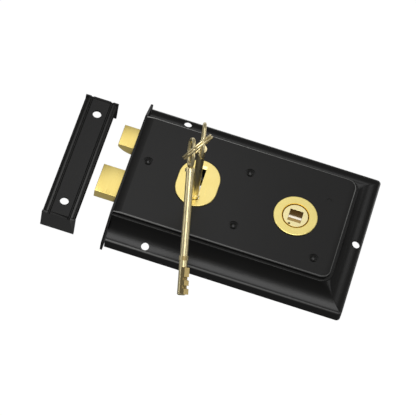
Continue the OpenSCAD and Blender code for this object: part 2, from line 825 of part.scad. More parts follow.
case_cover();
forend_plate();
back_plate();
pillars();
cap_screws();
key_escutcheon();
spindle_rose();
dead_bolt();
bolt_tail();
bolt_stump();
bolt_guide_post();
lever_1();
lever_2();
lever_post();
lever_1_spring();
lever_2_spring();
latch_bolt();
latch_tail();
latch_spring();
spring_stop();
follower();
follower_bush();
key_1();
key_2();
key_ring();
keep();
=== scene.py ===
"""Looks of a black rim box lock with brass fittings, its keep and its keys, lying on a pale floor."""

import json
from math import acos, cos, degrees, pi, radians, sin, tan

import bmesh
import bpy
from mathutils import Matrix, Vector


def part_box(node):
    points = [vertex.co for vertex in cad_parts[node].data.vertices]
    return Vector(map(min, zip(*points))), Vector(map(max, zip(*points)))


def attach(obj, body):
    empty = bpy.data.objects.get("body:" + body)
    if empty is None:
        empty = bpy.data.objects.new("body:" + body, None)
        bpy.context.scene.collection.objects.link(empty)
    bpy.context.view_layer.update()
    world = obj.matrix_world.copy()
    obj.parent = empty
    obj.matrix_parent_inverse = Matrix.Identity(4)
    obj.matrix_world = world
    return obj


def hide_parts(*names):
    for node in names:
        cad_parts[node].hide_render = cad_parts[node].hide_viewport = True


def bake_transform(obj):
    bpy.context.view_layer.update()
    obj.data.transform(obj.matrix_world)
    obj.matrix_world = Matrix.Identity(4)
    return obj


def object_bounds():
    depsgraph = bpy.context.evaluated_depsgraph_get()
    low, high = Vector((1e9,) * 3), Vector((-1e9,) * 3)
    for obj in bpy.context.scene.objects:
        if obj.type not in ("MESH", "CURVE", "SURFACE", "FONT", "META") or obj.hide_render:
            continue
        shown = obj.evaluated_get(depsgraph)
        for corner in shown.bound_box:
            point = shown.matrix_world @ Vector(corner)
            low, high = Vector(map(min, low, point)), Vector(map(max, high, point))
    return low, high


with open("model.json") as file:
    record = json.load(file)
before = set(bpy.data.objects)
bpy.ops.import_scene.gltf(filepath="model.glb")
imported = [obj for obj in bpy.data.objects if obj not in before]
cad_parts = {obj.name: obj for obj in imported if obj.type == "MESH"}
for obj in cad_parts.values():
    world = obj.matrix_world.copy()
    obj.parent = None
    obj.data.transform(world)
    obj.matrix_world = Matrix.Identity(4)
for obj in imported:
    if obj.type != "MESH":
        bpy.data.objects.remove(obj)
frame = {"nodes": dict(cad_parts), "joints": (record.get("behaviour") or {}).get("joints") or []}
cad_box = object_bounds()

# Back plate
# A flat sheet of black japanned steel that closes the box on the door side.
# It is blanked with a keyhole and a spindle hole, and four screws hold it.
MM = 0.001
japan_colour = (0.0042, 0.0041, 0.0039, 1)
japan_pale = (0.0075, 0.0072, 0.0068, 1)
# Colour of the painted highlight lines along the enamel's edges.
highlight_colour = (0.75, 0.75, 0.73, 1)


def feed(tree, made, links):
    """Joins or sets a node's inputs by name or number."""
    for name, value in links.items():
        if isinstance(value, bpy.types.NodeSocket):
            tree.links.new(value, made.inputs[name])
        else:
            made.inputs[name].default_value = value


def add_node(tree, kind, links=None, **settings):
    """Adds a node, sets its properties and feeds its inputs."""
    made = tree.nodes.new(kind)
    for name, value in settings.items():
        setattr(made, name, value)
    feed(tree, made, links or {})
    return made


def mixed(tree, mask, low, high):
    """A colour between two colours, by a mask."""
    colours = {"Factor": mask, "A": low, "B": high}
    return add_node(tree, "ShaderNodeMix", colours, data_type="RGBA").outputs["Result"]


def noise(tree, where, scale, detail):
    """A fine random mask."""
    spots = {"Vector": where, "Scale": scale, "Detail": detail}
    return add_node(tree, "ShaderNodeTexNoise", spots).outputs["Fac"]


def multiplied_sum(tree, value, factor, extra):
    """A value times a factor, plus another value."""
    terms = {0: value, 1: factor, 2: extra}
    return add_node(tree, "ShaderNodeMath", terms, operation="MULTIPLY_ADD").outputs[0]


def varied(tree, mask, spread, middle):
    """A value that a mask moves up and down about its middle, where the mask is a half."""
    centred = add_node(tree, "ShaderNodeMath", {0: mask, 1: 0.5}, operation="SUBTRACT").outputs[0]
    return multiplied_sum(tree, centred, spread, middle)


def bumped(tree, height, strength, distance=0.0001):
    """Normals of a fine relief."""
    relief = {"Height": height, "Strength": strength, "Distance": distance}
    return add_node(tree, "ShaderNodeBump", relief).outputs["Normal"]


def open_finish_group(name, numbers, others):
    """A shader node group with its inputs, which puts out a colour, a roughness and a height."""
    tree = bpy.data.node_groups.new(name, "ShaderNodeTree")
    for title, start in numbers.items():
        tree.interface.new_socket(title, in_out="INPUT", socket_type="NodeSocketFloat").default_value = start
    for title, kind in others.items():
        tree.interface.new_socket(title, in_out="INPUT", socket_type=kind)
    tree.interface.new_socket("Colour", in_out="OUTPUT", socket_type="NodeSocketColor")
    for title in ("Roughness", "Height"):
        tree.interface.new_socket(title, in_out="OUTPUT", socket_type="NodeSocketFloat")
    return tree, tree.nodes.new("NodeGroupInput").outputs


def make_enamel_group():
    """Fine orange peel and cloudy sheen of a sprayed or dipped enamel."""
    tree, given = open_finish_group("enamel_skin",
                                    {"Peel Scale": 900.0, "Roughness": 0.4, "Roughness Spread": 0.1},
                                    {"Dark": "NodeSocketColor", "Pale": "NodeSocketColor"})
    where = tree.nodes.new("ShaderNodeTexCoord").outputs["Object"]
    peel = noise(tree, where, scale=given["Peel Scale"], detail=2.0)
    cloud = noise(tree, where, scale=34.0, detail=4.0)
    add_node(tree, "NodeGroupOutput",
             {"Colour": mixed(tree, cloud, given["Dark"], given["Pale"]), "Height": peel,
              "Roughness": varied(tree, cloud, given["Roughness Spread"], given["Roughness"])})
    return tree


def make_material(name):
    """An empty node material with its Principled shader."""
    made = bpy.data.materials.new(name)
    made.use_nodes = True
    return made, made.node_tree, made.node_tree.nodes["Principled BSDF"]


enamel_skin = make_enamel_group()


def make_japan(name, roughness):
    """Black japan: a satin stove enamel over pressed steel, painted paler where a piece marks its edges, as a
    painted highlight.
    """
    made, tree, shader = make_material(name)
    enamel = {"Roughness": roughness, "Dark": japan_colour, "Pale": japan_pale}
    skin = add_node(tree, "ShaderNodeGroup", enamel, node_tree=enamel_skin).outputs
    # Paler colour painted where a piece marks its edges: a painted highlight, not wear.
    painted_highlight = add_node(tree, "ShaderNodeAttribute", attribute_name="painted_highlight").outputs["Fac"]
    feed(tree, shader, {"Base Color": mixed(tree, painted_highlight, skin["Colour"], highlight_colour),
                        "Roughness": skin["Roughness"], "Specular IOR Level": 0.28,
                        "Normal": bumped(tree, skin["Height"], strength=0.12, distance=0.0002)})
    return made


black_japan = make_japan("black_japan", roughness=0.3)


def keep_result(piece):
    """Turns a piece and its modifiers into one plain mesh."""
    graph = bpy.context.evaluated_depsgraph_get()
    result = bpy.data.meshes.new_from_object(piece.evaluated_get(graph), preserve_all_data_layers=True,
                                             depsgraph=graph)
    piece.modifiers.clear()
    piece.data = result
    return piece


def new_piece(name, mesh):
    """A piece at the origin, with its place in its mesh."""
    piece = bpy.data.objects.new(name, mesh)
    bpy.context.scene.collection.objects.link(piece)
    return piece


def finish_piece(piece, finish, body, slot, *nodes):
    """Gives a piece its finish, the body that it moves with and the CAD nodes that it stands for."""
    piece.data.materials.clear()
    piece.data.materials.append(finish)
    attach(piece, body)
    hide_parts(*nodes)
    return piece


def write_smooth(work, mesh):
    """Writes a work mesh out with smooth faces and lets it go."""
    for part in work.faces:
        part.smooth = True
    work.to_mesh(mesh)
    work.free()
    return mesh


def merged_copy(node):
    """A closed copy of a CAD node's mesh, with the flat faces joined up."""
    mesh = frame["nodes"][node].data.copy()
    work = bmesh.new()
    work.from_mesh(mesh)
    bmesh.ops.remove_doubles(work, verts=work.verts, dist=2e-6)
    bmesh.ops.dissolve_limit(work, angle_limit=radians(0.4), verts=work.verts, edges=work.edges)
    return write_smooth(work, mesh)


def eased_copy(node, ease):
    """A copy of a CAD node with its sharp edges rounded over by a small radius in mm."""
    piece = new_piece(node + "_finished", merged_copy(node))
    rounding = piece.modifiers.new("eased_edges", "BEVEL")
    rounding.width = ease * MM
    rounding.segments = 3
    rounding.limit_method = "ANGLE"
    rounding.angle_limit = radians(35)
    rounding.harden_normals = True
    return keep_result(piece)


finish_piece(eased_copy("back_plate", ease=0.2), black_japan, "lock", "case_black", "back_plate")

# Pillars and cap screws
# Four turned steel pillars tie the back plate to the case. Their upper ends are riveted over into
# small domes that sit in a countersink of the face, and a slotted steel screw enters each from the back.
case_low, case_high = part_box("case_cover")
forend_low, forend_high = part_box("forend_plate")
forend_face = forend_low.x / MM
pillar_places = [(11.4, 4.507), (73.1, 18.6), (73.4, -20.5), (125.6, -25.4)]
plate_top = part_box("back_plate")[1].z / MM
face_z = case_high.z / MM
sheet_t = 1.2
dome_ball, dome_h, dome_last = 3.0, 0.9, 82
sink_r, sink_depth = 3.0, 0.55
tarnish_dark, tarnish_dull, clean_gloss = 0.62, 0.14, 0.06


def make_steel(name, colour, roughness):
    """Plain turned or drawn steel with fine tool marks and faint tarnish."""
    made, tree, shader = make_material(name)
    where = tree.nodes.new("ShaderNodeTexCoord").outputs["Object"]
    marks = noise(tree, where, scale=1500.0, detail=3.0)
    tarnish = noise(tree, where, scale=120.0, detail=5.0)
    darkened = tuple(tarnish_dark * c for c in colour)
    gloss = add_node(tree, "ShaderNodeMapRange", {"Value": tarnish, "To Min": roughness + tarnish_dull,
                                                  "To Max": roughness - clean_gloss})
    feed(tree, shader, {"Base Color": mixed(tree, tarnish, darkened + (1,), colour + (1,)),
                        "Roughness": gloss.outputs["Result"], "Metallic": 1,
                        "Normal": bumped(tree, marks, strength=0.15)})
    return made


bright_steel = make_steel("bright_steel", colour=(0.62, 0.61, 0.6), roughness=0.3)


def arc(centre, radius, start, end, steps):
    """Points on an arc in a section drawing, angles in degrees."""
    turn = [start + (end - start) * i / steps for i in range(steps + 1)]
    return [(centre[0] + radius * cos(radians(a)), centre[1] + radius * sin(radians(a))) for a in turn]


def turned(name, outline, sides):
    """A turned piece: an outline of (radius, height) in mm run round Z, from a point on Z to a point on Z."""
    work = bmesh.new()
    rings = []
    for radius, height in outline:
        turns = [2 * pi * k / sides for k in range(sides if radius else 1)]
        rings.append([work.verts.new(Vector((radius * cos(a), radius * sin(a), height)) * MM) for a in turns])
    for low, high in zip(rings, rings[1:]):
        for k in range(sides):
            after = k + 1
            corners = [low[k % len(low)], low[after % len(low)], high[after % len(high)], high[k % len(high)]]
            work.faces.new(list(dict.fromkeys(corners)))
    bmesh.ops.recalc_face_normals(work, faces=work.faces)
    mesh = write_smooth(work, bpy.data.meshes.new(name))
    mesh.set_sharp_from_angle(angle=radians(32))
    return mesh


def open_geometry_tree(name, inputs):
    """A geometry tree with its inputs, and the identifiers by which a modifier sets them."""
    tree = bpy.data.node_groups.new(name, "GeometryNodeTree")
    sockets = {title: tree.interface.new_socket(title, in_out="INPUT", socket_type=kind).identifier
               for title, kind in inputs.items()}
    tree.interface.new_socket("Geometry", in_out="OUTPUT", socket_type="NodeSocketGeometry")
    return tree, sockets, tree.nodes.new("NodeGroupInput").outputs


def close_geometry_tree(tree, shape, finish):
    """Ends a geometry tree with real meshes in one finish."""
    real = add_node(tree, "GeometryNodeRealizeInstances", {"Geometry": shape})
    painted = add_node(tree, "GeometryNodeSetMaterial",
                       {"Geometry": real.outputs["Geometry"], "Material": finish})
    add_node(tree, "NodeGroupOutput", {"Geometry": painted.outputs["Geometry"]})


def make_setting_tree():
    """Geometry nodes that set one fastener on each point of a mesh."""
    tree, sockets, given = open_geometry_tree(
        "set_fasteners",
        {"Geometry": "NodeSocketGeometry", "Fastener": "NodeSocketObject", "Finish": "NodeSocketMaterial"})
    shape = add_node(tree, "GeometryNodeObjectInfo", {"Object": given["Fastener"], "As Instance": True})
    setting = add_node(tree, "GeometryNodeInstanceOnPoints",
                       {"Points": given["Geometry"], "Instance": shape.outputs["Geometry"]})
    close_geometry_tree(tree, setting.outputs["Instances"], given["Finish"])
    return tree, sockets


setting_tree, setting_sockets = make_setting_tree()


def row_point(x, y, z):
    """A place in mm, X measured from the forend's outer face, as a point of the frame."""
    return Vector(((x + forend_face) * MM, y * MM, z * MM))


def set_fasteners(name, fastener_mesh, places, finish):
    """One mesh with a fastener at each place."""
    points = bpy.data.meshes.new(name + "_points")
    points.from_pydata([row_point(x, y, 0) for x, y in places], [], [])
    pattern = new_piece(name + "_pattern", fastener_mesh)
    piece = new_piece(name, points)
    setting = piece.modifiers.new("setting", "NODES")
    setting.node_group = setting_tree
    setting[setting_sockets["Fastener"]] = pattern
    setting[setting_sockets["Finish"]] = finish
    keep_result(piece)
    bpy.data.objects.remove(pattern)
    return piece


pillar_r, neck_r, turned_edge = 2.5, 1.5, 0.3
roof_z = face_z - sheet_t
sink_z = face_z - sink_depth
dome_rim = degrees(acos(1 - dome_h / dome_ball))
dome_r = dome_ball * sin(radians(dome_rim))
pillar_outline = (
    [(0, plate_top), (pillar_r - turned_edge, plate_top), (pillar_r, plate_top + turned_edge),
     (pillar_r, roof_z - turned_edge), (pillar_r - turned_edge, roof_z), (neck_r, roof_z), (neck_r, sink_z),
     (dome_r, sink_z)]
    + arc((0, face_z + dome_h - dome_ball), dome_ball, 90 - dome_rim, dome_last, steps=7)
    + [(0, face_z + dome_h)])
pillar = turned("riveted_pillar", pillar_outline, sides=40)
pillars = set_fasteners("riveted_pillars", pillar, pillar_places, black_japan)
finish_piece(pillars, black_japan, "lock", "case_black", "pillars")

finish_piece(eased_copy("cap_screws", ease=0.12), bright_steel, "lock", "steel", "cap_screws")

# Works inside the case
# Steel posts, bolt tail, latch tail and spring stop, two brass levers with bowed leaf springs, and the
# follower's bush. They are punched or turned, and are seen only where an opening shows them.
brass_deep = (0.60, 0.36, 0.085)
brass_pale = (0.86, 0.62, 0.22)
line_share, patch_share = 0.55, 0.45
spun_drift = (0.02, 0.02, 0.02)
steel_ease, lever_ease, leaf_ease, bush_ease = 0.15, 0.12, 0.05, 0.2


def make_grain_group():
    """Fine lines that a brush or an emery band leaves along one direction of stretched coordinates."""
    tree, given = open_finish_group(
        "brushed_grain", {"Fineness": 1.0, "Roughness": 0.3, "Roughness Spread": 0.15},
        {"Vector": "NodeSocketVector", "Deep": "NodeSocketColor", "Pale": "NodeSocketColor"})
    lines = add_node(tree, "ShaderNodeTexNoise", {"Vector": given["Vector"], "Scale": given["Fineness"],
                                                  "Detail": 4.0, "Roughness": 0.65}).outputs["Fac"]
    where = tree.nodes.new("ShaderNodeTexCoord").outputs["Object"]
    lined = add_node(tree, "ShaderNodeMath", {0: lines, 1: line_share}, operation="MULTIPLY").outputs[0]
    patches = noise(tree, where, scale=90.0, detail=3.0)
    mottled = multiplied_sum(tree, patches, patch_share, lined)
    add_node(tree, "NodeGroupOutput",
             {"Colour": mixed(tree, mottled, given["Deep"], given["Pale"]), "Height": lines,
              "Roughness": varied(tree, lines, given["Roughness Spread"], given["Roughness"])})
    return tree


brushed_grain = make_grain_group()


def spun(tree, where, centre):
    """Coordinates that run out from a centre and only drift round it, for the lines that spinning leaves."""
    moved = add_node(tree, "ShaderNodeMapping", {"Vector": where, "Location": -centre}).outputs["Vector"]
    apart = add_node(tree, "ShaderNodeSeparateXYZ", {"Vector": moved}).outputs
    flat = add_node(tree, "ShaderNodeCombineXYZ", {"X": apart["X"], "Y": apart["Y"]})
    reach = add_node(tree, "ShaderNodeVectorMath", {"Vector": flat.outputs["Vector"]}, operation="LENGTH")
    rings = add_node(tree, "ShaderNodeCombineXYZ", {"X": reach.outputs["Value"], "Z": apart["Z"]})
    drift = add_node(tree, "ShaderNodeMapping", {"Vector": moved, "Scale": spun_drift})
    both = {0: rings.outputs["Vector"], 1: drift.outputs["Vector"]}
    return add_node(tree, "ShaderNodeVectorMath", both, operation="ADD").outputs["Vector"]


def make_brass(name, deep, pale, roughness, stretch, bump_strength, centre=None):
    """Brass brushed along the short direction of stretch, or round a centre where one is given."""
    made, tree, shader = make_material(name)
    where = tree.nodes.new("ShaderNodeTexCoord").outputs["Object"]
    if centre is not None:
        where = spun(tree, where, centre)
    lined = add_node(tree, "ShaderNodeMapping", {"Vector": where, "Scale": stretch})
    grain = add_node(tree, "ShaderNodeGroup", {"Vector": lined.outputs["Vector"], "Roughness": roughness,
                                               "Deep": deep + (1,), "Pale": pale + (1,)},
                     node_tree=brushed_grain).outputs
    feed(tree, shader, {"Base Color": grain["Colour"], "Roughness": grain["Roughness"], "Metallic": 1,
                        "Normal": bumped(tree, grain["Height"], bump_strength)})
    return made


blued_spring = make_steel("blued_spring", colour=(0.24, 0.26, 0.32), roughness=0.28)
inner_brass = make_brass("inner_brass", brass_deep, brass_pale, roughness=0.38, stretch=(2500, 150, 400),
                         bump_strength=0.15)
inner_steel = {"bolt_tail": "dead_bolt", "bolt_stump": "dead_bolt", "bolt_guide_post": "lock",
               "lever_post": "lock", "latch_tail": "latch", "spring_stop": "lock"}
for node, body in inner_steel.items():
    finish_piece(eased_copy(node, steel_ease), bright_steel, body, "steel", node)
for node in ("lever_1", "lever_2"):
    finish_piece(eased_copy(node, lever_ease), inner_brass, node, "plate_brass", node)
    leaf = node + "_spring"
    finish_piece(eased_copy(leaf, leaf_ease), blued_spring, node, "spring_steel", leaf)
finish_piece(eased_copy("follower_bush", bush_ease), inner_brass, "lock", "plate_brass", "follower_bush")


# Latch spring
# A compression spring of blued steel wire, wound on a mandrel and slipped over the latch tail's spigot. In
# the lock its front end goes with the latch and its rear end stays on the stop, so it closes up as the latch
# draws back. Here it is wound once, at rest, and moves with no body.
def make_winding_tree():
    """Geometry nodes that wind a round wire into a coil about Z."""
    tree, sockets, given = open_geometry_tree(
        "wound_wire",
        {"Turns": "NodeSocketFloat", "Coil Radius": "NodeSocketFloat", "Rise": "NodeSocketFloat",
         "Wire Radius": "NodeSocketFloat", "Steps per Turn": "NodeSocketInt", "Finish": "NodeSocketMaterial"})
    path = add_node(tree, "GeometryNodeCurveSpiral",
                    {"Resolution": given["Steps per Turn"], "Rotations": given["Turns"],
                     "Start Radius": given["Coil Radius"], "End Radius": given["Coil Radius"],
                     "Height": given["Rise"]})
    section = add_node(tree, "GeometryNodeCurvePrimitiveCircle",
                       {"Resolution": 12, "Radius": given["Wire Radius"]})
    wire = add_node(tree, "GeometryNodeCurveToMesh", {"Curve": path.outputs["Curve"], "Fill Caps": True,
                                                      "Profile Curve": section.outputs["Curve"]})
    close_geometry_tree(tree, wire.outputs["Mesh"], given["Finish"])
    return tree, sockets


winding_tree, winding_sockets = make_winding_tree()


def wind_wire(name, place, finish, turns, coil_r, rise, wire_r, steps):
    """A coil of wire with its start at the origin of its place, sizes in mm."""
    piece = new_piece(name, bpy.data.meshes.new(name))
    winding = piece.modifiers.new("winding", "NODES")
    winding.node_group = winding_tree
    for socket, value in (("Turns", turns), ("Coil Radius", coil_r * MM), ("Rise", rise * MM),
                          ("Wire Radius", wire_r * MM), ("Steps per Turn", steps), ("Finish", finish)):
        winding[winding_sockets[socket]] = value
    keep_result(piece)
    work = bmesh.new()
    work.from_mesh(piece.data)
    bmesh.ops.remove_doubles(work, verts=work.verts, dist=1e-6)
    bmesh.ops.recalc_face_normals(work, faces=work.faces)
    work.transform(place)
    write_smooth(work, piece.data).set_sharp_from_angle(angle=radians(50))
    return piece


spring_low, spring_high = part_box("latch_spring")
spring_r = (spring_high.y - spring_low.y) / 2 / MM
spring_wire_r = 0.45
spring_rise = (spring_high.x - spring_low.x) / MM - 2 * spring_wire_r
spring_start = Vector((spring_low.x + spring_wire_r * MM, (spring_low.y + spring_high.y) / 2,
                       (spring_low.z + spring_high.z) / 2))
spring_place = Matrix.Translation(spring_start) @ Matrix.Rotation(radians(90), 4, "Y")
spring_turns = 7
latch_spring = wind_wire("latch_coil_spring", spring_place, blued_spring, spring_turns,
                         spring_r - spring_wire_r, spring_rise, spring_wire_r, steps=32)
latch_spring.data.materials.clear()
latch_spring.data.materials.append(blued_spring)
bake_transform(latch_spring)
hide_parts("latch_spring")

# Dead bolt and latch
# Two cast brass heads, faced and drawn over an emery band. The dead bolt is a plain block and the latch
# has a curved bevel on the door side. Each is lapped on a steel tail behind the forend.
bolt_brass = make_brass("bolt_brass", deep=(0.69, 0.51, 0.13), pale=(0.90, 0.75, 0.28), roughness=0.3,
                        stretch=(900, 60, 900), bump_strength=0.2)
bolt_ease = 0.2
finish_piece(eased_copy("dead_bolt", bolt_ease), bolt_brass, "dead_bolt", "bolt_brass", "dead_bolt")
finish_piece(eased_copy("latch_bolt", bolt_ease), bolt_brass, "latch", "bolt_brass", "latch_bolt")

# Case cover
# The box is pressed from one sheet of steel: a skirt with a narrow flat edge, a wide cove, a small step
# and a flat face with rounded edges. It is open at the forend and stove enamelled black, with highlight lines
# painted along its edges that are fainter on the lower side and towards the rear.
case_l = (case_high.x - forend_low.x) / MM
case_half = case_high.y / MM
forend_t = (forend_high.x - forend_low.x) / MM
flange_w, flange_z = 1.5, 8.4
cove_r, cove_slope = 13.5, 10
bend_r = 1.1
top_in, step_z, step_ease = 13.9, 18.6, 0.1
ledge_r = 0.25
edge_r = 0.9
cove_out = cove_r * sin(radians(cove_slope)) - flange_w
cove_z = flange_z + cove_r * cos(radians(cove_slope))
face_corner_r, flange_corner_r, mitre_r = 6.0, 2.5, 0.35
flange_corner_loss = 0.6
bend_steps, ledge_steps, edge_steps, droop_steps, cove_steps = 6, 4, 8, 6, 20
corner_step = 9
side_middle, rear_ys = 60.0, (-15.0, 0.0, 15.0)
band_w, band_drop = 4.5, 1.2
droop_w, droop = 3.6, 0.18
flange_gap = 0.4
flange_end_y = 39.3
lead = 0.2
# How much painted highlight lies along each bend, and how it fades on the lower side and towards the rear.
bend_highlight, ledge_highlight, edge_highlight = 1.0, 0.1, 0.95
highlight_below, highlight_rear = 0.25, 0.25


def bent_edge(centre, radius, steps, corner_at, most, drop=0):
    """An outer bend of the section from upright to flat, with how much painted highlight lies along it."""
    return [(d, z, corner_at(d), most * sin(pi * k / steps) ** 2, drop)
            for k, (d, z) in enumerate(arc(centre, radius, 180, 90, steps))]


def pressing_section():
    """Points up the section: inset from the edge, height, corner radius, painted highlight, and droop at the
    rear.
    """
    points = [(0, 0, flange_corner_r, 0, 0), (0, flange_z - bend_r - lead, flange_corner_r, 0, 0)]
    points += bent_edge((bend_r, flange_z - bend_r), bend_r, bend_steps,
                        lambda d: flange_corner_r - flange_corner_loss * d, bend_highlight)
    top_slope = degrees(acos((cove_z - step_z + ledge_r) / cove_r))
    cove = arc((-cove_out, cove_z), cove_r, cove_slope - 90, top_slope - 90, cove_steps)
    ledge_corner = face_corner_r + top_in - cove[-1][0]
    for k, (d, z) in enumerate(cove):
        points.append((d, z, mitre_r + (ledge_corner - mitre_r) * (k / cove_steps) ** 4, 0, 0))
    ledge_in = cove[-1][0]
    points += bent_edge((ledge_in + ledge_r, step_z - ledge_r), ledge_r, ledge_steps,
                        lambda d: ledge_corner - (d - ledge_in), ledge_highlight)[1:]
    points += [(top_in - step_ease, step_z, face_corner_r + step_ease, 0, 0),
               (top_in, step_z + step_ease, face_corner_r, 0, 0),
               (top_in, face_z - droop - edge_r - lead, face_corner_r, 0, droop)]
    points += bent_edge((top_in + edge_r, face_z - droop - edge_r), edge_r, edge_steps,
                        lambda d: face_corner_r - (d - top_in), edge_highlight, droop)
    for k in range(1, droop_steps + 1):
        share = k / droop_steps
        d = top_in + edge_r + droop_w * share
        drop = droop * (1 - share) ** 2
        points.append((d, face_z - drop, face_corner_r - (d - top_in), 0, drop))
    return points


def pressing_ring(inset, height, corner, drop):
    """One open loop of the pressing: along the lower side, round the rear and back along the upper side."""
    half, rear = case_half - inset, case_l - inset
    start = forend_t + (flange_gap if half > flange_end_y else 0)
    side = [(x, half, drop) for x in (start, forend_t + band_w, forend_t + band_w + 2 * lead, side_middle)]
    bend = [(rear - corner + corner * sin(radians(a)), half - corner + corner * cos(radians(a)),
             drop * cos(radians(a)) ** 2) for a in range(0, 91, corner_step)]
    upper = side + bend
    across = [(rear, y, 0) for y in rear_ys]
    loop = [(x, -y, lift) for x, y, lift in upper] + across + upper[::-1]
    limit = [face_z - band_drop * max(0, 1 - (x - forend_t) / band_w) for x, y, lift in loop]
    return [row_point(x, y, min(height + lift, top)) for (x, y, lift), top in zip(loop, limit)]


def stacked(work, *levels):
    """A closed block over outlines of (x, y) in mm that stand on each other, each given with its height."""
    loops = [[work.verts.new(row_point(x, y, z)) for x, y in outline] for outline, z in levels]
    work.faces.new(list(reversed(loops[0])))
    work.faces.new(loops[-1])
    for low, high in zip(loops, loops[1:]):
        for k in range(len(low)):
            after = (k + 1) % len(low)
            work.faces.new([low[k], low[after], high[after], high[k]])


def circle(x, y, radius, sides=48):
    """Outline of a round hole."""
    turns = [2 * pi * k / sides for k in range(sides)]
    return [(x + radius * cos(a), y + radius * sin(a)) for a in turns]


def cut(piece, *blocks):
    """Takes blocks that don't touch each other out of a piece, each a list of outlines and heights."""
    work = bmesh.new()
    for block in blocks:
        stacked(work, *block)
    cutter_mesh = bpy.data.meshes.new("cutter")
    work.to_mesh(cutter_mesh)
    work.free()
    cutter = new_piece("cutter", cutter_mesh)
    taking = piece.modifiers.new("cut", "BOOLEAN")
    taking.operation = "DIFFERENCE"
    taking.solver = "EXACT"
    taking.object = cutter
    keep_result(piece)
    bpy.data.objects.remove(cutter)
    return piece


key_x, key_y = 45.2, -9.5
keyhole_r, keyhole_slot, keyhole_reach = 2.85, 3.4, 20.5
fix_r, fix_edge, fix_x = 2.45, 3.9, 26.2
notch_w, notch_in = 8.0, 2.0
keyhole_room, neck_room = 0.6, 0.02
cut_past = 1.0
spindle_x, spindle_y = 107.5, -1.3
hub_hole_r = 7.85
plug_place, plug_r, plug_depth = (124.5, 16.6), 1.7, 0.3


def keyhole_outline(extra, longer=0):
    """Outline of the keyhole, wider all round and longer at its upper end: a round with a slot going up."""
    half = keyhole_slot / 2 + extra
    opening = degrees(acos(half / (keyhole_r + extra)))
    low = arc((key_x, key_y), keyhole_r + extra, opening, -180 - opening, steps=30)
    top = key_y + keyhole_reach + extra + longer
    return list(reversed(low + [(key_x - half, top), (key_x + half, top)]))


work = bmesh.new()
highlight_layer = work.verts.layers.float.new("painted_highlight")
rings = []
# Each point gets its painted highlight: full on the upper side, weaker on the lower side and towards the
# rear.
for inset, height, corner, highlight, drop in pressing_section():
    rings.append([work.verts.new(p) for p in pressing_ring(inset, height, corner, drop)])
    for point in rings[-1]:
        lower = (1 - point.co.y / (case_half * MM)) / 2
        rearward = (point.co.x - case_low.x) / (case_high.x - case_low.x)
        point[highlight_layer] = highlight * highlight_below ** lower * (1 - (1 - highlight_rear) * rearward)
for low, high in zip(rings, rings[1:]):
    for k in range(len(low) - 1):
        work.faces.new([low[k], low[k + 1], high[k + 1], high[k]])
top = rings[-1]
work.faces.new(top[2:-2])
for k in range(2):
    work.faces.new([top[k], top[k + 1], top[-2 - k], top[-1 - k]])
bmesh.ops.recalc_face_normals(work, faces=work.faces)
if sum(part.normal.z * part.calc_area() for part in work.faces) < 0:
    bmesh.ops.reverse_faces(work, faces=work.faces)
case_pressing = new_piece("case_pressing", write_smooth(work, bpy.data.meshes.new("case_pressing")))
wall = case_pressing.modifiers.new("sheet", "SOLIDIFY")
wall.thickness = sheet_t * MM
wall.offset = -1
wall.use_even_offset = False
keep_result(case_pressing)


def hole(outline, low, high):
    """A straight hole for the cutter."""
    return [(outline, low), (outline, high)]


def rectangle(left, low, right, high):
    """Outline of a straight-sided opening."""
    return [(left, low), (right, low), (right, high), (left, high)]


fix_places = [(fix_x, fix_edge - case_half), (fix_x, case_half - fix_edge), (case_l - fix_edge, 0)]
notch = rectangle(fix_x - notch_w / 2, case_half - notch_in, fix_x + notch_w / 2, case_half + cut_past)
cut(case_pressing, *[hole(circle(x, y, fix_r), -cut_past, face_z) for x, y in fix_places],
    *[hole(circle(x, y, sink_r), sink_z, face_z + cut_past) for x, y in pillar_places],
    hole(circle(*plug_place, plug_r), face_z - plug_depth, face_z + cut_past),
    hole(circle(spindle_x, spindle_y, hub_hole_r), roof_z - cut_past, face_z + cut_past),
    hole(keyhole_outline(keyhole_room), roof_z - cut_past, face_z + cut_past))
cut(case_pressing, hole(notch, -cut_past, flange_z - sheet_t),
    *[hole(circle(x, y, neck_r + neck_room), roof_z - cut_past, face_z + cut_past) for x, y in pillar_places])
case_pressing.data.set_sharp_from_angle(angle=radians(38))
finish_piece(case_pressing, black_japan, "lock", "case_black", "case_cover")

# Forend
# A flat steel plate across the open end of the case, with a slot for each bolt and two ears that reach
# past the flange. It is riveted to the case and enamelled with it.
finish_piece(eased_copy("forend_plate", ease=0.25), black_japan, "lock", "case_black", "forend_plate")

# Keyhole escutcheon
# A flat oval of brass sheet, blanked with the keyhole, brushed and fixed flat on the face. Its rim is rolled
# over and the upper end of the keyhole is relieved with a polished bevel that guides the key's bit.
plate_brass = make_brass("plate_brass", deep=(0.79, 0.61, 0.18), pale=(0.92, 0.78, 0.33), roughness=0.3,
                         stretch=(2200, 90, 300), bump_strength=0.12)
plate_low, plate_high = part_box("key_escutcheon")
plate_rim = 0.4
plate_x = (plate_low.x + plate_high.x) / 2 / MM - forend_face
plate_y = (plate_low.y + plate_high.y) / 2 / MM
plate_r = (plate_high.x - plate_low.x) / 2 / MM
plate_half = (plate_high.y - plate_low.y) / 2 / MM - plate_r
plate_base, plate_face = plate_low.z / MM, plate_high.z / MM
relief_w, relief_l, relief_slope, relief_room = 0.15, 1.6, 24, 0.001


def oval_outline(inset):
    """Outline of the plate: two half rounds joined by straights."""
    upper = arc((plate_x, plate_y + plate_half), plate_r - inset, 0, 180, steps=48)
    return upper + [(2 * plate_x - x, 2 * plate_y - y) for x, y in upper]


def flat_shaded(piece, sharp):
    """Shades the large flat faces of a cut piece evenly up to their small rounded edges."""
    piece.data.set_sharp_from_angle(angle=radians(sharp))
    evening = piece.modifiers.new("even_shading", "WEIGHTED_NORMAL")
    evening.keep_sharp = True
    return keep_result(piece)


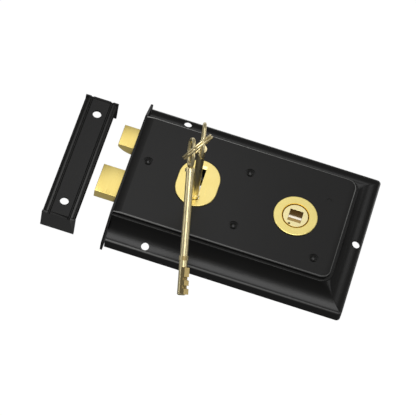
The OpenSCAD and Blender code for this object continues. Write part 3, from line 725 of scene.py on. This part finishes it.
rim = arc((plate_rim, plate_face - plate_rim), plate_rim, 180, 90, steps=5)
rim_levels = [(oval_outline(inset), height) for inset, height in rim]
work = bmesh.new()
stacked(work, (oval_outline(0), plate_base), *rim_levels)
keyhole_plate = new_piece("keyhole_plate", write_smooth(work, bpy.data.meshes.new("keyhole_plate")))
relief_drop = relief_l * tan(radians(relief_slope))
cut(keyhole_plate, hole(keyhole_outline(0), plate_base - cut_past, plate_face + cut_past))
cut(keyhole_plate, [(keyhole_outline(relief_room), plate_face - relief_drop),
                    (keyhole_outline(2 * relief_w, 2 * relief_l), plate_face + relief_drop)])
flat_shaded(keyhole_plate, sharp=20)
finish_piece(keyhole_plate, plate_brass, "lock", "plate_brass", "key_escutcheon")

# Spindle rose and follower
# A round brass plate spun bright round the spindle, and inside it the turned brass hub of the follower,
# broached with a square hole for the knob's spindle.
rose_low, rose_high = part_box("spindle_rose")
rose_centre = Vector(((rose_low.x + rose_high.x) / 2, (rose_low.y + rose_high.y) / 2, 0))
rose_brass = make_brass("rose_brass", deep=(0.89, 0.71, 0.20), pale=(1.0, 0.87, 0.37), roughness=0.33,
                        stretch=(3200, 3200, 300), bump_strength=0.06, centre=rose_centre)
hub_brass = make_brass("hub_brass", deep=(0.92, 0.78, 0.36), pale=(1.0, 0.91, 0.54), roughness=0.26,
                       stretch=(900, 60, 900), bump_strength=0.06)
# A painted amber reflection: orange brass on the rose's inner bevel and the hub's outer edge, standing in for
# warm light in the gap between them.
amber_reflection_brass = make_brass("amber_reflection_brass", deep=(0.86, 0.50, 0.03), pale=(1.0, 0.66, 0.08), roughness=0.55,
                        stretch=(900, 900, 300), bump_strength=0.06)
hub_r, hub_ease = 7.75, 0.5
rose_gap, rose_ease = 0.45, 0.45
flat_from, upright_to = 0.97, 0.5
edge_reach, dot_reach = 1.2, 1.05
dot_x, dot_y, dot_r, dot_depth = spindle_x - 2.4, spindle_y - 6.2, 0.65, 1.2
hub_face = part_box("follower")[1].z / MM
rose = flat_shaded(eased_copy("spindle_rose", rose_ease), sharp=60)
finish_piece(rose, rose_brass, "lock", "plate_brass", "spindle_rose")
rose.data.materials.append(amber_reflection_brass)
# The rose's inner bevel beside the hub takes the painted amber reflection.
for part in rose.data.polygons:
    from_centre = (part.center - rose_centre).to_2d().length
    part.material_index = int(part.normal.z < flat_from and from_centre < (hub_r + rose_gap + rose_ease) * MM)
bore_half = 4.3
# Heights and colours of the bore's painted light: painted shade above, a near-white painted highlight band,
# and painted shade below.
glint_top, glint_low, glint_fade, glint_wander = 14.6, 12.0, 0.03, 0.0012
bore_low_shade, bore_painted_glint, bore_high_shade = (0.28, 0.18, 0.045, 1), (1.0, 0.95, 0.85, 1), (0.16, 0.10, 0.025, 1)


def make_bore_shading():
    """Broached walls of the square hole in brass, with light and shade painted on by height: painted shade
    high in the bore, a near-white painted highlight band, and a darker brown band of painted shade below.
    """
    made, tree, shader = make_material("bore_painted_brass")
    where = tree.nodes.new("ShaderNodeTexCoord").outputs["Object"]
    height = add_node(tree, "ShaderNodeSeparateXYZ", {"Vector": where}).outputs["Z"]
    lines = add_node(tree, "ShaderNodeMapping", {"Vector": where, "Scale": (1800, 1800, 60)})
    marks = noise(tree, lines.outputs["Vector"], scale=1.0, detail=2.0)
    uneven = multiplied_sum(tree, marks, glint_wander, height)
    depth = add_node(tree, "ShaderNodeMapRange", {"Value": uneven, "From Min": 0, "From Max": hub_face * MM})
    bands = add_node(tree, "ShaderNodeValToRGB", {"Fac": depth.outputs["Result"]})
    stops = bands.color_ramp.elements
    stops[0].position, stops[0].color = glint_low / hub_face, bore_low_shade
    stops[1].position, stops[1].color = 1, bore_high_shade
    for place, colour in ((glint_low / hub_face + glint_fade, bore_painted_glint),
                          (glint_top / hub_face, bore_painted_glint),
                          (glint_top / hub_face + glint_fade, bore_high_shade)):
        stops.new(place).color = colour
    feed(tree, shader, {"Base Color": bands.outputs["Color"], "Roughness": 0.22, "Metallic": 1,
                        "Normal": bumped(tree, marks, strength=0.2)})
    return made


bore_painted_brass = make_bore_shading()
follower = eased_copy("follower", hub_ease)
cut(follower, hole(circle(dot_x, dot_y, dot_r, sides=24), hub_face - dot_depth, hub_face + cut_past))
flat_shaded(follower, sharp=35)
finish_piece(follower, hub_brass, "follower", "plate_brass", "follower")
follower.data.materials.append(bore_painted_brass)
follower.data.materials.append(amber_reflection_brass)
bore_centre, dot_centre = row_point(spindle_x, spindle_y, 0), row_point(dot_x, dot_y, 0)
# The bore's walls and the small dot take the bore's painted light and shade. The hub's outer edge takes the
# painted amber reflection.
for part in follower.data.polygons:
    off = part.center - bore_centre
    in_bore = abs(part.normal.z) < upright_to and max(abs(off.x), abs(off.y)) < bore_half * MM
    in_dot = (part.center - dot_centre).to_2d().length < dot_reach * dot_r * MM
    on_edge = part.normal.z < flat_from and off.to_2d().length > (hub_r - edge_reach * hub_ease) * MM
    part.material_index = 1 if in_bore or in_dot else 2 if on_edge else 0

# Keys and split ring
# Two cast brass keys with a turned shank, a filed flat bit and a rounded oval bow, on a split ring of brass
# wire. One key stands in the lock and the other hangs from the ring.
key_brass = make_brass("key_brass", deep=(0.84, 0.68, 0.32), pale=(1.0, 0.91, 0.60), roughness=0.3,
                       stretch=(420, 420, 120), bump_strength=0.01)
# The bit is painted a darker brass, a painted shade that tones down its highlights. Its rougher finish is
# real.
bit_shaded_brass = make_brass("bit_shaded_brass", deep=(0.38, 0.28, 0.10), pale=(0.56, 0.45, 0.22), roughness=0.6,
                         stretch=(1500, 200, 1500), bump_strength=0.3)
ring_joint = next(j for j in frame["joints"] if j["name"] == "spare_swing")
ring_centre = Vector(ring_joint["pos_m"])
ring_from_key1, key2_from_ring = Vector((-1.2, -9.98, 7.25)) * MM, Vector((-3.29, 3.41, -13.87)) * MM
key1_bow, key2_bow = ring_centre - ring_from_key1, ring_centre + key2_from_ring
key1_lean, key1_roll = -2.3, 12
key2_tilt, key2_turn, key2_roll = 60, 105.6, 92.7
key1_place = (Matrix.Translation(key1_bow) @ Matrix.Rotation(radians(key1_lean), 4, "Y")
              @ Matrix.Rotation(radians(key1_roll), 4, "Z"))
key2_place = (Matrix.Translation(key2_bow) @ Matrix.Rotation(radians(key2_turn), 4, "Z")
              @ Matrix.Rotation(radians(key2_tilt), 4, "Y") @ Matrix.Rotation(radians(key2_roll), 4, "Z"))
bow_r, bow_half, bow_rim = 9.1, 2.1, 2.2
bow_steps, bow_sides = 72, 16
key_ease, neck_in = 0.45, 0.6


def bow_loop(turn):
    """Points round the bow's wire at one place along its oval, in the key's own axes and mm."""
    shift = bow_half if cos(turn) > 0 else -bow_half
    section = arc((bow_r - bow_rim / 2, 0), bow_rim / 2, 0, 360 - 360 / bow_sides, bow_sides - 1)
    return [Vector((x, shift + reach * cos(turn), reach * sin(turn))) for reach, x in section]


def finished_key(node, place):
    """A key with shank and bit eased from the CAD node, and a bow of round section set on the shank's end."""
    piece = eased_copy(node, key_ease)
    work = bmesh.new()
    work.from_mesh(piece.data)
    bmesh.ops.bisect_plane(work, geom=work.verts[:] + work.edges[:] + work.faces[:], clear_outer=True,
                           plane_co=place @ Vector((0, 0, (neck_in - bow_r) * MM)),
                           plane_no=place.to_3x3() @ Vector((0, 0, 1)))
    bmesh.ops.holes_fill(work, edges=[edge for edge in work.edges if edge.is_boundary])
    loops = [[work.verts.new(place @ (point * MM)) for point in bow_loop(2 * pi * (k + 0.5) / bow_steps)]
             for k in range(bow_steps)]
    for here, there in zip(loops, loops[1:] + loops[:1]):
        for k in range(len(here)):
            work.faces.new([here[k], here[k - 1], there[k - 1], there[k]]).smooth = True
    bmesh.ops.recalc_face_normals(work, faces=work.faces)
    work.to_mesh(piece.data)
    work.free()
    return flat_shaded(piece, sharp=35)


finish_piece(finished_key("key_1", key1_place), key_brass, "key", "key_brass", "key_1")
key_2 = finish_piece(finished_key("key_2", key2_place), key_brass, "spare_key", "key_brass", "key_2")
key_2.data.materials.append(bit_shaded_brass)
# Faces of the spare key's bit take the darker painted shade.
bit_from, bit_half, bit_below = 2.6, 1.6, -60
for part in key_2.data.polygons:
    spot = key2_place.inverted() @ part.center / MM
    if abs(spot.x) < bit_half and spot.y > bit_from and spot.z < bit_below:
        part.material_index = 1

ring_tilt, ring_turn = 73, 152.7
ring_r, ring_wire_r, ring_pitch, ring_turns = 10.2, 0.6, 1.45, 1.9
ring_place = (Matrix.Translation(ring_centre) @ Matrix.Rotation(radians(ring_turn), 4, "Z")
              @ Matrix.Rotation(radians(ring_tilt), 4, "Y")
              @ Matrix.Translation((0, 0, -ring_pitch * ring_turns / 2 * MM)))
split_ring = wind_wire("split_ring", ring_place, key_brass, ring_turns, ring_r, ring_pitch * ring_turns,
                       ring_wire_r, steps=64)
finish_piece(split_ring, key_brass, "spare_key", "key_brass", "key_ring")

# Keep
# A separate box of black japanned steel that is screwed to the door frame and takes both bolts. Two
# grooves run along its top beside a flat strip with two screw holes.
keep_japan = make_japan("keep_japan", roughness=0.34)
keep_low, keep_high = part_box("keep")
seam_in, seam_w, seam_depth, seam_end = 1.3, 0.4, 0.5, 1.6
crest_from, crest_to, crest_drop, crest_highlight = 6.9, 8.2, 0.3, 0.07
keep_left, keep_right = keep_low.x / MM - forend_face + seam_end, keep_high.x / MM - forend_face - seam_end
keep_top = keep_high.z / MM
seams = [(keep_low.y / MM + seam_in, keep_low.y / MM + seam_in + seam_w),
         (keep_high.y / MM - seam_in - seam_w, keep_high.y / MM - seam_in)]
keep_box = eased_copy("keep", ease=0.35)
cut(keep_box, *[hole(rectangle(keep_left, y0, keep_right, y1), keep_top - seam_depth, keep_top + cut_past)
                for y0, y1 in seams])
keep_middle, foot_notch_half, foot_notch_h = (keep_left + keep_right) / 2, 4, 3.6
foot_notch = rectangle(keep_middle - foot_notch_half, keep_high.y / MM - 2 * sheet_t,
                       keep_middle + foot_notch_half, keep_high.y / MM + cut_past)
cut(keep_box, hole(foot_notch, -cut_past, foot_notch_h))
# A painted highlight along the crests beside the grooves, growing brighter towards the keep's lower end.
highlight = keep_box.data.attributes.new("painted_highlight", "FLOAT", "POINT")
for point in keep_box.data.vertices:
    across = abs(point.co.x / MM - forend_face - keep_middle)
    if crest_from < across < crest_to and point.co.z / MM > keep_top - crest_drop:
        highlight.data[point.index].value = crest_highlight * (keep_high.y - point.co.y) / (keep_high.y - keep_low.y)
flat_shaded(keep_box, sharp=32)
finish_piece(keep_box, keep_japan, "keep", "keep_black", "keep")

# Studio
# A plain white floor, a dim room, and soft panels: one overhead, two behind that the flat faces mirror,
# more at the sides, and cards on the floor. The camera stands at the photograph's angle, with a long lens.
floor_drop = 0.0006
floor_half = 2.0
floor_mirrored = 0.12
floor_mesh = bpy.data.meshes.new("floor")
floor_level = cad_box[0].z - floor_drop
floor_mesh.from_pydata([(-floor_half, -floor_half, floor_level), (floor_half, -floor_half, floor_level),
                        (floor_half, floor_half, floor_level), (-floor_half, floor_half, floor_level)], [],
                       [(0, 1, 2, 3)])
floor = new_piece("floor", floor_mesh)
floor_white, floor_tree, floor_shader = make_material("floor_white")
seen_by = floor_tree.nodes.new("ShaderNodeLightPath").outputs["Is Camera Ray"]
shine = multiplied_sum(floor_tree, seen_by, 1 - floor_mirrored, floor_mirrored)
feed(floor_tree, floor_shader, {"Base Color": (0.02, 0.02, 0.02, 1), "Specular IOR Level": 0,
                                "Emission Color": (1, 1, 1, 1), "Emission Strength": shine})
floor_mesh.materials.append(floor_white)

studio = bpy.data.worlds.new("studio")
studio.use_nodes = True
feed(studio.node_tree, studio.node_tree.nodes["Background"], {"Color": (1, 1, 1, 1), "Strength": 0.18})
bpy.context.scene.world = studio


def add_panel(name, place, aim, width, height, radiance):
    """A soft rectangular light of even brightness, aimed at a point and unseen by the camera."""
    lamp = bpy.data.lights.new(name, "AREA")
    lamp.shape = "RECTANGLE"
    lamp.size, lamp.size_y = width, height
    lamp.energy = radiance * pi * width * height
    panel = bpy.data.objects.new(name, lamp)
    panel.location = place
    panel.rotation_euler = (Vector(aim) - Vector(place)).to_track_quat("-Z", "Y").to_euler()
    panel.visible_camera = False
    bpy.context.scene.collection.objects.link(panel)


card_lift, card_aim = 0.0002, 0.001
hub_card_before = 3


def add_card(name, x, y, width, depth, radiance):
    """A small bright card that lies on the floor and shines up."""
    add_panel(name, (x, y, floor_level + card_lift), (x, y + card_aim, 1), width, depth, radiance)


under_hub = row_point(spindle_x, spindle_y - hub_card_before, 0)
add_panel("overhead_panel", (-0.02, -0.18, 1.19), aim=(0, 0, 0), width=1.0, height=0.70, radiance=4.0)
add_panel("back_panel", (-0.08, 0.62, 1.02), aim=(0, 0, 0.02), width=0.70, height=0.50, radiance=0.72)
add_panel("near_panel", (-0.098, 0.142, 0.328), aim=(-0.080, -0.045, 0.022), width=0.19, height=0.15,
          radiance=0.55)
add_panel("camera_panel", (0.07, -0.72, 1.18), aim=(0, 0, 0.02), width=0.60, height=0.50, radiance=0.9)
add_panel("right_panel", (0.85, 0.62, 0.55), aim=(0, 0, 0.02), width=0.50, height=0.40, radiance=1.2)
add_panel("right_side_panel", (1.10, -0.28, 0.40), aim=(0, 0, 0.05), width=0.50, height=0.50, radiance=1.5)
add_panel("left_side_panel", (-1.10, -0.28, 0.40), aim=(0, 0, 0.05), width=0.50, height=0.50, radiance=1.5)
add_card("floor_card_behind", 0, 0.30, width=1.2, depth=0.44, radiance=0.5)
add_card("floor_card_left", -0.1065, -0.0325, width=0.057, depth=0.105, radiance=0.22)
add_card("floor_card_under_hub", under_hub.x, under_hub.y, width=0.012, depth=0.012, radiance=1.2)

focal_px, image_px = 2559.5579, 416
camera_pitch, camera_yaw, camera_roll = -0.530, -0.0429, -0.3293
camera_offset = Vector((21.0476, -5.0363, -1581.6881)) * MM
lens = bpy.data.cameras.new("camera")
lens.sensor_width = 36
lens.lens = lens.sensor_width * focal_px / image_px
lens.clip_end = 20
turn = (Matrix.Rotation(camera_roll, 3, "Z") @ Matrix.Rotation(camera_pitch, 3, "X")
        @ Matrix.Rotation(camera_yaw, 3, "Y"))
camera = bpy.data.objects.new("camera", lens)
camera.matrix_world = (Matrix.Translation(camera_offset) @ turn.to_4x4()).inverted()
bpy.context.scene.collection.objects.link(camera)
bpy.context.scene.camera = camera
bpy.context.scene.view_settings.view_transform = "Standard"
